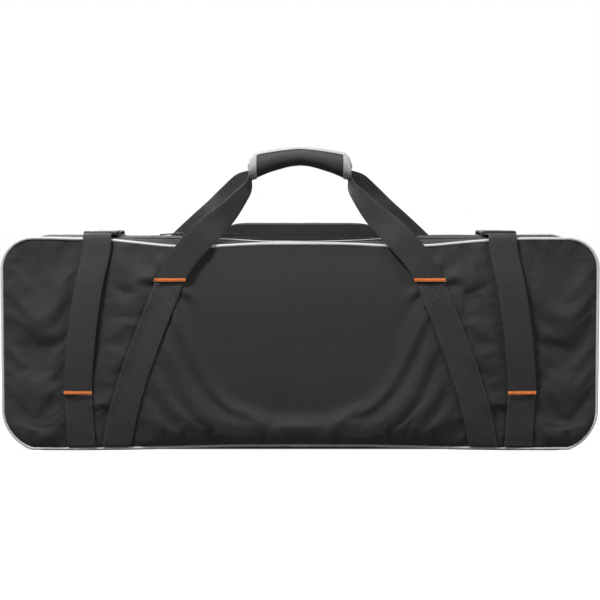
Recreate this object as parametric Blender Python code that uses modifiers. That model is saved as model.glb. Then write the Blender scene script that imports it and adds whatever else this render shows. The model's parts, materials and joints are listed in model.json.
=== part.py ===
"""Telescope carry case: a long padded soft case with a zipped front lid, two lash straps and two carry handles.

Metres, +Z up. X runs along the case, the front faces -Y, and the origin is the middle of its flat base.
"""

from math import cos, radians, sin

import bmesh
import bpy

# Driving dimensions
LENGTH = 0.810
HEIGHT = 0.290
DEPTH = 0.200  # between the front and the rear piping
TOP_RADIUS = 0.042
BOTTOM_RADIUS = 0.057
ARC_STEP = 15  # degrees between the points of a round corner, the same in every layer
FRONT_BULGE = 0.018
REAR_BULGE = 0.012
SKIN = 0.0015  # woven outer fabric with its backing
FOAM = 0.0075
LINING = 0.001
GAP = 0.0003
PIPING_RADIUS = 0.002
PIPING_LOW = 0.003  # the piping stays this far above the floor, so the base carries
ZIP_Y = -0.065  # the zip runs round the top and the ends
ZIP_END_ANGLE = -40  # where the zip stops, on the round lower corner
TAPE_WIDTH = 0.0095
TAPE = 0.0008
TEETH_WIDTH = 0.0036
WEB_WIDTH = 0.038
WEB = 0.0018  # webbing thickness
WEB_LIFT = 0.0008  # between the bulged panel and the back of the webbing
HANDLE_X = 0.176
REAR_HANDLE_X = 0.215
HANDLE_Z = 0.234
WEB_FOOT_X = 0.247
WEB_FOOT_Z = 0.018
LASH_FOOT_X = 0.298
LASH_X = 0.301
LASH_Z = 0.081
LASH_TOP_X = 0.276
GRIP_LENGTH = 0.140
GRIP_Z = 0.3835
GRIP_SPLIT = 0.0006  # half of the gap between the two halves of the grip
GRIP_HALF_HEIGHT = 0.0145
GRIP_HALF_DEPTH = 0.021
GRIP_ARCH = 0.016
GRIP_WALL = 0.006
BINDING_WIDTH = 0.011
BUCKLE_WIDTH = 0.048
BUCKLE_HEIGHT = 0.008
BUCKLE_Z = HEIGHT + 0.0006  # underside of the buckles, which lie on the middle of the top
SOCKET_FRONT = -0.045
SOCKET_LENGTH = 0.030
STRAP_END = 0.034
STRAP_RISE = 0.0030  # the straps' middle above the case's top
OVER_PIPING = (  # how a strap passes over the piping: beyond the piping's plane, above the case's top
    (0.0042, 0.0005),
    (0.003, 0.0035),
    (-0.001, 0.0042),
    (-0.012, 0.0034),
)  # where the rear strap ends, clear of the buckle plug's travel
ZIP_MEETS_X = -0.139  # the two sliders of the closed zip meet here
SLIDER_X = 0.016  # each slider from where they meet
SLIDER_Z = HEIGHT + 0.001
PULL_LENGTH = 0.032
POCKET_HALF_WIDTH = 0.110
POCKET_LOW = 0.045
POCKET_HIGH = 0.304
POCKET_RADIUS = 0.065
POCKET_FOOT_RADIUS = 0.012
POCKET_Y = 0.1135  # front face of the pocket's back sheet
POCKET_DEPTH = 0.026
POCKET_SLIDER_Z = 0.080  # the closed zip's slider rests low on the right side
COVER = 0.004

HALF = LENGTH / 2
FRONT = -DEPTH / 2
REAR = DEPTH / 2

for old in list(bpy.data.objects):
    bpy.data.objects.remove(old)

case_parts = bpy.data.collections.new("telescope_carry_case")
cutters = bpy.data.collections.new("cutters")
for group in (case_parts, cutters):
    bpy.context.scene.collection.children.link(group)


def finish(name, colour, roughness, metallic=0.0):
    """A plain material with the piece's colour."""
    made = bpy.data.materials.new(name)
    made.use_nodes = True
    shader = made.node_tree.nodes["Principled BSDF"]
    shader.inputs["Base Color"].default_value = (*colour, 1)
    shader.inputs["Roughness"].default_value = roughness
    shader.inputs["Metallic"].default_value = metallic
    return made


SHELL_FABRIC = finish("shell_fabric", (0.032, 0.032, 0.034), 0.85)
FOAM_PADDING = finish("foam_padding", (0.35, 0.35, 0.36), 0.95)
LINING_FABRIC = finish("lining_fabric", (0.09, 0.09, 0.10), 0.8)
STIFF_BOARD = finish("stiff_board", (0.05, 0.05, 0.05), 0.5)
PIPING_CORD = finish("piping_cord", (0.36, 0.34, 0.36), 0.45)
WEBBING = finish("webbing", (0.035, 0.035, 0.036), 0.75)
BARTACK_THREAD = finish("bartack_thread", (0.72, 0.19, 0.03), 0.6)
ZIP_TAPE = finish("zip_tape", (0.025, 0.025, 0.026), 0.8)
ZIP_COIL = finish("zip_coil", (0.02, 0.02, 0.02), 0.4)
ZIP_METAL = finish("zip_metal", (0.10, 0.10, 0.11), 0.35, 0.9)
BUCKLE_PLASTIC = finish("buckle_plastic", (0.015, 0.015, 0.016), 0.35)
GRIP_FABRIC = finish("grip_fabric", (0.02, 0.02, 0.021), 0.7)
BINDING_TAPE = finish("binding_tape", (0.33, 0.32, 0.34), 0.6)


def keep(name, mesh, material, group=case_parts):
    """Makes an object of this mesh, in the collection of the parts unless another is given."""
    piece = bpy.data.objects.new(name, mesh)
    group.objects.link(piece)
    if material:
        mesh.materials.append(material)
    return piece


def sheet(name, rows, thickness, material, pivot=(0, 0, 0)):
    """A sheet whose middle surface runs through rows of points, with its thickness on both sides."""
    across, down = len(rows[0]) - 1, len(rows) - 1
    shape = bmesh.new()
    bmesh.ops.create_grid(shape, x_segments=across, y_segments=down, size=1)
    for vert in shape.verts:
        point = rows[round((vert.co.y + 1) / 2 * down)][round((vert.co.x + 1) / 2 * across)]
        vert.co = [place - start for place, start in zip(point, pivot)]
    mesh = bpy.data.meshes.new(name)
    shape.to_mesh(mesh)
    shape.free()
    mesh.shade_smooth()
    mesh.set_sharp_from_angle(angle=radians(35))
    piece = keep(name, mesh, material)
    piece.location = pivot
    wall = piece.modifiers.new("Solidify", "SOLIDIFY")
    wall.thickness = thickness
    wall.offset = 0
    return piece


def block(name, centre, size, bevel, material, pivot=None, group=case_parts):
    """A box with rounded edges, with its origin at the pivot or at its own centre."""
    pivot = pivot or centre
    shape = bmesh.new()
    bmesh.ops.create_cube(shape, size=1)
    for vert in shape.verts:
        place = zip(centre, vert.co, size, pivot)
        vert.co = [middle + side * length - start for middle, side, length, start in place]
    mesh = bpy.data.meshes.new(name)
    shape.to_mesh(mesh)
    shape.free()
    piece = keep(name, mesh, material, group)
    piece.location = pivot
    if bevel:
        rounding = piece.modifiers.new("Bevel", "BEVEL")
        rounding.width = bevel
        rounding.segments = 2
    return piece


def combine(piece, operation, tool):
    """Cuts the tool's shape out of a piece or adds it, and leaves the tool out of the model."""
    tool.hide_render = True
    tool.display_type = "WIRE"
    change = piece.modifiers.new("Boolean", "BOOLEAN")
    change.operation = operation
    change.object = tool


def outline(inset, first=-180, last=180):
    """Points of the side-on outline, drawn in from its edge, between two angles round its corners."""
    points = []
    corners = (
        (-180, -1, BOTTOM_RADIUS, BOTTOM_RADIUS),
        (-90, 1, BOTTOM_RADIUS, BOTTOM_RADIUS),
        (0, 1, TOP_RADIUS, HEIGHT - TOP_RADIUS),
        (90, -1, TOP_RADIUS, HEIGHT - TOP_RADIUS),
        (180, -1, BOTTOM_RADIUS, BOTTOM_RADIUS),
    )
    for start, side, radius, middle in corners:
        low, high = max(first, start), min(last, start + 90)
        if low >= high:
            continue
        turns = [low, *(turn for turn in range(start, start + 90, ARC_STEP) if low < turn < high), high]
        reach = radius - inset
        for angle in map(radians, turns):
            points.append((side * (HALF - radius) + reach * cos(angle), middle + reach * sin(angle)))
    return points


def bulge(x, z):
    """How full the padded panels are at a place: 1 in the middle and 0 at the piping."""
    along = min(1, abs(x) / HALF)
    up = min(1, abs(2 * z / HEIGHT - 1))
    return (1 - along**3) * (1 - up**3)


def front_y(x, z):
    return FRONT - FRONT_BULGE * bulge(x, z)


def rear_y(x, z):
    return REAR + REAR_BULGE * bulge(x, z)


def rounded_place(across, up, inset):
    """Carries a place on a square of side 2 to the rounded outline of a panel."""
    ring = max(abs(across), abs(up))
    if ring == 0:
        return 0, HEIGHT / 2
    radius = (TOP_RADIUS if up > 0 else BOTTOM_RADIUS) - inset
    half_length, half_height = HALF - inset, HEIGHT / 2 - inset
    x, z = half_length * across / ring, half_height * up / ring
    corner_x, corner_z = half_length - radius, half_height - radius
    if abs(x) > corner_x and abs(z) > corner_z:
        beyond_x, beyond_z = abs(x) - corner_x, abs(z) - corner_z
        far = (beyond_x**2 + beyond_z**2) ** 0.5
        x = (corner_x + radius * beyond_x / far) * (1 if x > 0 else -1)
        z = (corner_z + radius * beyond_z / far) * (1 if z > 0 else -1)
    return ring * x, HEIGHT / 2 + ring * z


def panel(name, inset, surface, depth, thickness, material):
    """A padded panel of the front or the rear: depth is how far its middle lies inside the surface."""
    columns, lines = 12, 8
    inward = 1 if surface is front_y else -1
    rows = []
    for line in range(lines + 1):
        row = []
        for column in range(columns + 1):
            x, z = rounded_place(2 * column / columns - 1, 2 * line / lines - 1, inset)
            z = max(z, PIPING_LOW + inset)
            row.append((x, surface(x, z) + inward * depth, z))
        rows.append(row)
    sheet(name, rows, thickness, material)


def wall(name, inset, thickness, start_y, end_y, first, last, material):
    """A strip of the case's wall between two depths, along part of the outline."""
    middle = inset + thickness / 2
    run = outline(middle, first, last)
    sheet(name, [[(x, y, z) for x, z in run] for y in (start_y, end_y)], thickness, material)


def piping(name, y):
    """The round cord sewn into the seam of a panel."""
    curve = bpy.data.curves.new(name, "CURVE")
    curve.dimensions = "3D"
    curve.bevel_depth = PIPING_RADIUS
    curve.bevel_resolution = 1
    run = outline(0)
    spline = curve.splines.new("POLY")
    spline.points.add(len(run) - 1)
    for point, (x, z) in zip(spline.points, run):
        point.co = (x, y, max(z, PIPING_LOW), 1)
    spline.use_cyclic_u = True
    case_parts.objects.link(bpy.data.objects.new(name, curve))
    curve.materials.append(PIPING_CORD)


def mix(start, end, share):
    return start + (end - start) * share


def sewn_web(name, surface, foot, head, steps=5):
    """Webbing sewn flat on a panel, from its foot to its head, each an (x, z) place."""
    outward = -1 if surface is front_y else 1
    rows = []
    for step in range(steps + 1):
        x, z = (mix(foot[axis], head[axis], step / steps) for axis in (0, 1))
        rows.append(
            [
                (edge, surface(edge, z) + outward * (WEB_LIFT + WEB / 2), z)
                for edge in (x - WEB_WIDTH / 2, x, x + WEB_WIDTH / 2)
            ]
        )
    sheet(name, rows, WEB, WEBBING)


def shell_and_padding():
    """The walls of the case: fabric outside, foam between, lining inside."""
    trim = 0.25
    zip_back = ZIP_Y + TEETH_WIDTH / 2 + TAPE_WIDTH
    wall_front = zip_back + GAP
    wall_rear = REAR - PIPING_RADIUS - 2 * GAP
    wall_end = 180 - ZIP_END_ANGLE - trim
    base_span = (-180 - ZIP_END_ANGLE + trim, ZIP_END_ANGLE - trim)
    base_front = FRONT + PIPING_RADIUS + 2 * GAP
    wall("base_panel", 0, SKIN, base_front, wall_rear, *base_span, SHELL_FABRIC)
    wall("base_board", SKIN + GAP, 0.0025, base_front, wall_rear, -105, -75, STIFF_BOARD)
    wall("base_padding", SKIN + 0.0025 + 2 * GAP, 0.0052, base_front, wall_rear, -110, -70, FOAM_PADDING)
    wall("right_end_panel", 0, SKIN, wall_front, wall_rear, ZIP_END_ANGLE + trim, 45 - trim, SHELL_FABRIC)
    wall("left_end_panel", 0, SKIN, wall_front, wall_rear, 135 + trim, wall_end, SHELL_FABRIC)
    wall("top_panel", 0, SKIN, wall_front, wall_rear, 45 + trim, 135 - trim, SHELL_FABRIC)
    around = (ZIP_END_ANGLE + trim, wall_end)
    wall("wall_padding", SKIN + GAP, FOAM, wall_front, wall_rear, *around, FOAM_PADDING)
    lining_inset = SKIN + FOAM + 4 * GAP
    lining_rear = REAR - SKIN - FOAM - LINING - 0.0025
    wall("wall_lining", lining_inset, LINING, wall_front, lining_rear, *around, LINING_FABRIC)
    base_lining_front = FRONT + SKIN + FOAM + LINING + 0.0025
    wall("base_lining", lining_inset, LINING, base_lining_front, lining_rear, *base_span, LINING_FABRIC)
    layers = (
        ("panel", PIPING_RADIUS + 0.0006, SKIN, 0.0, SHELL_FABRIC),
        ("padding", 0.0112, FOAM, SKIN + 0.0014, FOAM_PADDING),
        ("lining", 0.0124, LINING, SKIN + FOAM + 0.0022, LINING_FABRIC),
    )
    for face, surface in (("front", front_y), ("rear", rear_y)):
        for layer, inset, thickness, depth, material in layers:
            panel(f"{face}_{layer}", inset, surface, depth + thickness / 2, thickness, material)
        piping(f"{face}_piping", FRONT if face == "front" else REAR)


def zip_and_rim():
    """The lid's narrow rim, and the two sides of the zip between it and the case."""
    span = (ZIP_END_ANGLE + 0.25, 180 - ZIP_END_ANGLE - 0.25)
    half_teeth = TEETH_WIDTH / 2
    tape_reach = half_teeth + TAPE_WIDTH
    rim_front = FRONT + PIPING_RADIUS + 2 * GAP
    rim_rear = ZIP_Y - tape_reach - GAP
    wall("lid_rim", 0, SKIN, rim_front, rim_rear, *span, SHELL_FABRIC)
    wall("lid_rim_padding", SKIN + GAP, FOAM, rim_front, rim_rear, *span, FOAM_PADDING)
    for owner, side in (("lid", -1), ("case", 1)):
        tape = sorted((ZIP_Y + side * 0.0006, ZIP_Y + side * tape_reach))
        coil = sorted((ZIP_Y + side * 0.0003, ZIP_Y + side * TEETH_WIDTH))
        wall(f"{owner}_zip_tape", 0.0015, TAPE, *tape, *span, ZIP_TAPE)
        wall(f"{owner}_zip_teeth", 0, 0.0012, *coil, *span, ZIP_COIL)


def sliders():
    """The two zip sliders on the straight top run, each with a pull on a hinge."""
    for side, hand in ((-1, "left"), (1, "right")):
        at = (ZIP_MEETS_X + side * SLIDER_X, ZIP_Y, SLIDER_Z)
        above = (at[0], at[1], at[2] + 0.002)
        body = block(f"slider_{hand}", above, (0.014, 0.009, 0.004), 0.0008, ZIP_METAL, at)
        arch = block(
            f"slider_arch_{hand}",
            (at[0], at[1], at[2] + 0.005),
            (0.008, 0.003, 0.003),
            0,
            None,
            group=cutters,
        )
        combine(body, "UNION", arch)
        hinge = (at[0] + side * 0.0045, at[1], at[2] + 0.0055)
        block(
            f"pull_{hand}",
            (hinge[0] + side * (PULL_LENGTH / 2 + 0.0008), hinge[1], hinge[2]),
            (PULL_LENGTH, 0.008, 0.0018),
            0.0005,
            ZIP_METAL,
            hinge,
        )


def webbing_on_panels():
    """The long webbing sewn down the front and the rear, and the bartacks across its heads."""
    for side, hand in ((-1, "left"), (1, "right")):
        foot = (side * WEB_FOOT_X, WEB_FOOT_Z)
        sewn_web(f"front_webbing_{hand}", front_y, foot, (side * HANDLE_X, HANDLE_Z - 0.002))
        sewn_web(f"rear_webbing_{hand}", rear_y, foot, (side * REAR_HANDLE_X, HANDLE_Z - 0.002))
        lash_foot = (side * LASH_FOOT_X, WEB_FOOT_Z)
        sewn_web(f"lash_base_{hand}", front_y, lash_foot, (side * LASH_X, LASH_Z - 0.002), 3)
        for name, x, z in (("handle", HANDLE_X, HANDLE_Z - 0.006), ("lash", LASH_X, LASH_Z - 0.006)):
            over = WEB_LIFT + WEB + 0.0018
            y = front_y(x, z) - over
            block(
                f"{name}_bartack_{hand}",
                (side * x, y, z),
                (WEB_WIDTH - 0.004, 0.001, 0.003),
                0.0003,
                BARTACK_THREAD,
            )


def handle(face):
    """One carry handle: a loop of webbing with its half of the grip pad and the pad's end bindings."""
    surface = front_y if face == "front" else rear_y
    out = -1 if face == "front" else 1
    start_x = HANDLE_X if face == "front" else REAR_HANDLE_X
    root_y = surface(start_x, HANDLE_Z) + out * (WEB_LIFT + WEB / 2)
    inner_y = out * 0.0060
    middle_z = GRIP_Z + GRIP_ARCH
    # Each station: x, y, z, then half of the width as x and z.
    half = WEB_WIDTH / 2
    edge_y = out * (DEPTH / 2 + 0.0085)
    low_x, high_x = (0.164, 0.141) if face == "front" else (0.192, 0.160)
    legs = [
        (start_x, root_y, HANDLE_Z + 0.003, half, 0.0),
        (low_x, mix(root_y, edge_y, 0.30), 0.255, half * 0.90, half * 0.42),
        (high_x, mix(root_y, edge_y, 0.90), 0.284, half * 0.78, half * 0.62),
        (0.118, edge_y * 0.98, 0.311, half * 0.78, half * 0.62),
        (0.095, mix(edge_y, inner_y, 0.48), 0.342, half * 0.78, half * 0.62),
        (0.0825, inner_y * 1.5, 0.3735, 0.010, 0.0065),
        (0.0735, inner_y, GRIP_Z, 0.002, 0.004),
        (0.060, inner_y, GRIP_Z + 0.004, 0.0, 0.005),
        (0.033, inner_y, middle_z - 0.0035, 0.0, 0.005),
    ]
    stations = [(-x, y, z, -wx, wz) for x, y, z, wx, wz in legs]
    stations.append((0, inner_y, middle_z, 0.0, 0.005))
    stations += legs[::-1]
    pivot = (0, root_y, HANDLE_Z)
    rows = [[(x - wx, y, z - wz), (x + wx, y, z + wz)] for x, y, z, wx, wz in stations]
    sheet(f"{face}_handle_webbing", rows, WEB, WEBBING, pivot)

    def half_tube(name, stations, grow, thickness, material):
        """Half of the grip's round section, run through places along the case."""
        rows = []
        for x in stations:
            lift = GRIP_ARCH * (1 - (2 * x / GRIP_LENGTH) ** 2)
            row = []
            for turn in range(9):
                angle = radians(mix(-90, 90, turn / 8))
                y = out * (2 * GRIP_SPLIT + (GRIP_HALF_DEPTH + grow) * cos(angle))
                z = GRIP_Z + lift + (GRIP_HALF_HEIGHT + grow) * sin(angle)
                row.append((x, y, z))
            rows.append(row)
        sheet(name, rows, thickness, material, pivot)

    end = GRIP_LENGTH / 2
    edge = end - BINDING_WIDTH
    stations = (-end, -edge, -edge / 2, 0, edge / 2, edge, end)
    half_tube(f"{face}_grip_pad", stations, -GRIP_WALL / 2, GRIP_WALL, GRIP_FABRIC)
    half_tube(f"{face}_grip_binding_left", stations[:2], 0.0012, 0.001, BINDING_TAPE)
    half_tube(f"{face}_grip_binding_right", stations[-2:], 0.0012, 0.001, BINDING_TAPE)


def web_edges(x):
    """Where a full-width webbing has its two edges and its middle."""
    return (x - WEB_WIDTH / 2, x, x + WEB_WIDTH / 2)


def lash(side, hand):
    """A lash strap that rises from its bartack and ends in a buckle on top of the case."""
    pivot = (side * LASH_X, front_y(LASH_X, LASH_Z) - WEB_LIFT - WEB / 2, LASH_Z)
    rows = []
    steps = 7
    for step in range(steps + 1):
        share = step / steps
        x = side * mix(LASH_X, LASH_TOP_X, share)
        z = mix(LASH_Z + 0.003, HEIGHT - 0.004, share)
        rows.append([(edge, front_y(edge, z) - WEB_LIFT - WEB / 2, z) for edge in web_edges(x)])
    top = side * LASH_TOP_X
    for beyond, rise in OVER_PIPING:
        rows.append([(edge, FRONT - beyond, HEIGHT + rise) for edge in web_edges(top)])
    rows.append([(edge, SOCKET_FRONT - GAP, HEIGHT + STRAP_RISE) for edge in web_edges(top)])
    sheet(f"lash_strap_{hand}", rows, WEB, WEBBING, pivot)

    middle_y = SOCKET_FRONT + SOCKET_LENGTH / 2
    middle_z = BUCKLE_Z + BUCKLE_HEIGHT / 2
    socket = block(
        f"buckle_socket_{hand}",
        (top, middle_y, middle_z),
        (BUCKLE_WIDTH, SOCKET_LENGTH, BUCKLE_HEIGHT),
        0.002,
        BUCKLE_PLASTIC,
        pivot,
    )
    room = block(
        f"socket_room_{hand}",
        (top, middle_y + 0.004, middle_z - 0.0020),
        (0.040, SOCKET_LENGTH, BUCKLE_HEIGHT),
        0,
        None,
        group=cutters,
    )
    window = block(
        f"socket_window_{hand}",
        (top, middle_y - 0.001, middle_z - 0.0005),
        (BUCKLE_WIDTH + 0.01, 0.010, 0.0036),
        0,
        None,
        group=cutters,
    )
    combine(socket, "DIFFERENCE", room)
    combine(socket, "DIFFERENCE", window)


def plug(side, hand):
    """The other half of the buckle: a bar for the rear strap with two prongs that reach into the socket."""
    x = side * LASH_TOP_X
    mouth = SOCKET_FRONT + SOCKET_LENGTH
    middle_z = BUCKLE_Z + 0.0038
    body = block(
        f"buckle_plug_{hand}",
        (x, mouth + 0.0085, middle_z),
        (0.044, 0.016, 0.0068),
        0.0012,
        BUCKLE_PLASTIC,
    )
    for name, offset, width in (("inner", -0.0145, 0.006), ("outer", 0.0145, 0.006), ("middle", 0.0, 0.005)):
        prong = block(
            f"prong_{name}_{hand}",
            (x + offset, mouth - 0.007, middle_z - 0.0010),
            (width, 0.021, 0.0036),
            0,
            None,
            group=cutters,
        )
        combine(body, "UNION", prong)
    slot = block(
        f"plug_slot_{hand}",
        (x, mouth + 0.0105, middle_z),
        (0.036, 0.004, 0.02),
        0,
        None,
        group=cutters,
    )
    combine(body, "DIFFERENCE", slot)


def rear_strap(side, hand):
    """The rear strap, sewn up the rear panel and brought over the top towards the buckle."""
    rows = []
    steps = 7
    for step in range(steps + 1):
        share = step / steps
        x = side * mix(LASH_X, LASH_TOP_X, share)
        z = mix(WEB_FOOT_Z, HEIGHT - 0.004, share)
        rows.append([(edge, rear_y(edge, z) + WEB_LIFT + WEB / 2, z) for edge in web_edges(x)])
    top = side * LASH_TOP_X
    for beyond, rise in OVER_PIPING:
        rows.append([(edge, REAR + beyond, HEIGHT + rise) for edge in web_edges(top)])
    rows.append([(edge, STRAP_END, HEIGHT + STRAP_RISE) for edge in web_edges(top)])
    sheet(f"rear_strap_{hand}", rows, WEB, WEBBING)


def pocket_outline(inset, foot=True):
    """The accessory pocket's outline, from the middle of its foot round its arched top."""
    half, radius = POCKET_HALF_WIDTH - inset, POCKET_RADIUS - inset
    right = []
    if foot:
        right.append((GAP / 2, POCKET_LOW + inset))
        foot_radius = POCKET_FOOT_RADIUS - inset
        for turn in range(4):
            angle = radians(-90 + 30 * turn)
            x = half - foot_radius * (1 - cos(angle))
            right.append((x, POCKET_LOW + inset + foot_radius * (1 + sin(angle))))
    else:
        right.append((half, POCKET_LOW + 0.02))
    for turn in range(6):
        angle = radians(18 * turn)
        right.append((half - radius + radius * cos(angle), POCKET_HIGH - inset - radius * (1 - sin(angle))))
    return right + [(-x, z) for x, z in right[::-1]]


def pocket_sheet(name, inset, y, thickness, material, pivot=(0, 0, 0)):
    """A flat sheet with the pocket's outline."""
    columns, lines = 10, 8
    half = POCKET_HALF_WIDTH - inset
    rows = []
    for line in range(lines + 1):
        z = mix(POCKET_LOW + inset, POCKET_HIGH - inset, 1 - (1 - line / lines) ** 2)
        corner = max(0, z - (POCKET_HIGH - POCKET_RADIUS))
        radius = POCKET_RADIUS - inset
        reach = half - radius + max(0, radius**2 - corner**2) ** 0.5
        rows.append([(reach * (2 * column / columns - 1), y, z) for column in range(columns + 1)])
    sheet(name, rows, thickness, material, pivot)


def pocket():
    """A flat accessory pocket on the rear, with a cover that folds down from its arched zip."""
    back_y = POCKET_Y + SKIN / 2
    pocket_sheet("pocket_back", 0.0, back_y, SKIN, SHELL_FABRIC)
    gusset_front = POCKET_Y + SKIN + GAP
    gusset_rear = gusset_front + POCKET_DEPTH
    run = pocket_outline(SKIN / 2)
    rows = [[(x, y, z) for x, z in run] for y in (gusset_front, gusset_rear)]
    sheet("pocket_gusset", rows, SKIN, SHELL_FABRIC)
    run = pocket_outline(-0.0009, foot=False)
    rows = [[(x, y, z) for x, z in run] for y in (gusset_rear - 0.006, gusset_rear - 0.0005)]
    sheet("pocket_zip", rows, 0.0012, ZIP_COIL)
    cover_y = gusset_rear + GAP + COVER / 2
    hinge = (0, cover_y, POCKET_LOW)
    pocket_sheet("pocket_cover", 0.0, cover_y, COVER, SHELL_FABRIC, hinge)
    at = (POCKET_HALF_WIDTH + 0.0038, gusset_rear - 0.00325, POCKET_SLIDER_Z)
    slider_length, pull_length = 0.012, 0.024
    block("pocket_slider", at, (0.0034, 0.007, slider_length), 0.0006, ZIP_METAL, at)
    pull_hinge = (at[0] + 0.0014, at[1], at[2] - slider_length / 2 - 0.0013)
    block(
        "pocket_pull",
        (pull_hinge[0], pull_hinge[1], pull_hinge[2] - pull_length / 2),
        (0.0014, 0.006, pull_length),
        0.0004,
        ZIP_METAL,
        pull_hinge,
    )


shell_and_padding()
zip_and_rim()
sliders()
webbing_on_panels()
handle("front")
handle("rear")
for side, hand in ((-1, "left"), (1, "right")):
    lash(side, hand)
    plug(side, hand)
    rear_strap(side, hand)
pocket()
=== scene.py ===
"""The looks of a padded telescope carry case: sewn fabric, webbing, piping, zips, buckles and a wrap grip."""

import json
from math import atan2, cos, exp, hypot, pi, radians, sin, tanh

import bmesh
import bpy
from mathutils import Matrix, Vector, noise
from mathutils.bvhtree import BVHTree


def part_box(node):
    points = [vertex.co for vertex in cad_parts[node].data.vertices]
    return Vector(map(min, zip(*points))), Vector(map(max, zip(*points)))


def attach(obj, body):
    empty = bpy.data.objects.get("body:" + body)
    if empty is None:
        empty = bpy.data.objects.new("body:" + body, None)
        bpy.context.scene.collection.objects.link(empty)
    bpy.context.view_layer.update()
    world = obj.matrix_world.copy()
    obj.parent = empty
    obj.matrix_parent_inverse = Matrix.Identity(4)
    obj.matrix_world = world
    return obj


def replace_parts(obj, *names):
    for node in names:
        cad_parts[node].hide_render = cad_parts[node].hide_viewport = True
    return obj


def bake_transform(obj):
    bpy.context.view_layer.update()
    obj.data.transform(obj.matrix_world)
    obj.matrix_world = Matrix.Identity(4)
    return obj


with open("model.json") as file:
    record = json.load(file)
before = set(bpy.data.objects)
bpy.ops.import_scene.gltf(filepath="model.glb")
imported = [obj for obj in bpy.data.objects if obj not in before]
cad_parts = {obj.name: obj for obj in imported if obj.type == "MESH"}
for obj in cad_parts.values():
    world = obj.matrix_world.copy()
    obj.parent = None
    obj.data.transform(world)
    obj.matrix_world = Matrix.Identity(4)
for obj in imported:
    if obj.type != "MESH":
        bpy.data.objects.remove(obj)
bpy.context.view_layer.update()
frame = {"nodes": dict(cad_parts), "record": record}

# Places and sizes, read from the frame
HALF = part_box("right_end_panel")[1][0]
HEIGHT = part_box("top_panel")[1][2]
FRONT = sum(corner[1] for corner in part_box("front_piping")) / 2
REAR = sum(corner[1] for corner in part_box("rear_piping")) / 2
FRONT_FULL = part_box("front_panel")[0][1]
REAR_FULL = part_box("rear_panel")[1][1]
RIM_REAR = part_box("lid_rim")[1][1]
WALL_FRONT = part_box("top_panel")[0][1]
WALL_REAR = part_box("top_panel")[1][1]
TOP_RADIUS = 0.042
BOTTOM_RADIUS = 0.057
PIPING = 0.0020
PIPING_LOW = 0.003
ZIP_END = -40  # degrees round the lower corner where the zip stops
WEB = 0.0016
WEB_HALF = 0.019
BINDING_WIDTH = 0.0105
LEFT_RIGHT = ((-1, "left"), (1, "right"))


def joint_place(name):
    """Where a joint's axis passes."""
    joints = frame["record"]["behaviour"]["joints"]
    return next(joint["pos_m"] for joint in joints if joint["name"] == name)


def mix(start, end, share):
    return start + (end - start) * share


def smooth(low, high, value):
    """A soft step from 0 at low to 1 at high."""
    share = min(1, max(0, (value - low) / (high - low)))
    return share * share * (3 - 2 * share)


def web_run(node):
    """Foot and head of a webbing sewn on a panel, as (x, z) places on the case's right half."""
    low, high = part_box(node)
    return (high[0] - WEB_HALF, low[2]), (low[0] + WEB_HALF, high[2])


FRONT_WEB = web_run("front_webbing_right")
REAR_WEB = web_run("rear_webbing_right")
LASH_X, LASH_Z = joint_place("lash_hinge_right")[0], joint_place("lash_hinge_right")[2]
LASH_FOOT = (LASH_X - 0.003, FRONT_WEB[0][1])
LASH_TOP_X = sum(corner[0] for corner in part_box("buckle_plug_right")) / 2


# ---------------------------------------------------------------- materials


def group_of(name, inputs, outputs):
    """An empty shader node group with its named sockets, and its input and output nodes."""
    made = bpy.data.node_groups.new(name, "ShaderNodeTree")
    for label, kind in inputs:
        made.interface.new_socket(label, in_out="INPUT", socket_type=kind)
    for label, kind in outputs:
        made.interface.new_socket(label, in_out="OUTPUT", socket_type=kind)
    return made, made.nodes.new("NodeGroupInput"), made.nodes.new("NodeGroupOutput")


def math_node(tree, operation, first, second=None):
    node = tree.nodes.new("ShaderNodeMath")
    node.operation = operation
    for socket, value in zip(node.inputs, (first, second)):
        if value is None:
            continue
        if isinstance(value, (int, float)):
            socket.default_value = value
        else:
            tree.links.new(value, socket)
    return node.outputs[0]


def plus(tree, first, second, share=1.0):
    """The first value and a share of the second."""
    return math_node(tree, "ADD", first, math_node(tree, "MULTIPLY", second, share))


def noise_node(tree, vector, scale, detail=3, roughness=0.55):
    node = tree.nodes.new("ShaderNodeTexNoise")
    node.inputs["Scale"].default_value = scale
    node.inputs["Detail"].default_value = detail
    node.inputs["Roughness"].default_value = roughness
    tree.links.new(vector, node.inputs["Vector"])
    return node.outputs["Fac"]


def weave_group():
    """A plain weave over a map in metres: its height, and a colour value with painted shade, the thread crowns
    lighter and the hollows between them darker, plus random fibre and slub tone.
    """
    made, given, out = group_of(
        "weave",
        [("Cut", "NodeSocketVector"), ("Across", "NodeSocketFloat"), ("Along", "NodeSocketFloat")],
        [("Height", "NodeSocketFloat"), ("Light", "NodeSocketFloat")],
    )
    split = made.nodes.new("ShaderNodeSeparateXYZ")
    made.links.new(given.outputs["Cut"], split.inputs[0])
    u = math_node(made, "MULTIPLY", split.outputs[0], given.outputs["Across"])
    v = math_node(made, "MULTIPLY", split.outputs[1], given.outputs["Along"])
    over = math_node(made, "MULTIPLY", math_node(made, "SINE", u), math_node(made, "SINE", v))
    crown_u = math_node(made, "ABSOLUTE", math_node(made, "COSINE", math_node(made, "MULTIPLY", u, 0.5)))
    crown_v = math_node(made, "ABSOLUTE", math_node(made, "COSINE", math_node(made, "MULTIPLY", v, 0.5)))
    crown = math_node(made, "MULTIPLY", math_node(made, "ADD", crown_u, crown_v), 0.3)
    height = plus(made, crown, over, 0.5)
    fibre = noise_node(made, given.outputs["Cut"], 900, 2)
    slub = noise_node(made, given.outputs["Cut"], 160, 2)
    # painted shade: the weave's crowns lighter and its hollows darker in colour, mixed with random fibre and slub
    # tone
    light = plus(made, plus(made, math_node(made, "MULTIPLY", height, 0.55), fibre, 0.5), slub, 0.25)
    made.links.new(plus(made, height, fibre, 0.5), out.inputs["Height"])
    made.links.new(light, out.inputs["Light"])
    return made


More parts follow.
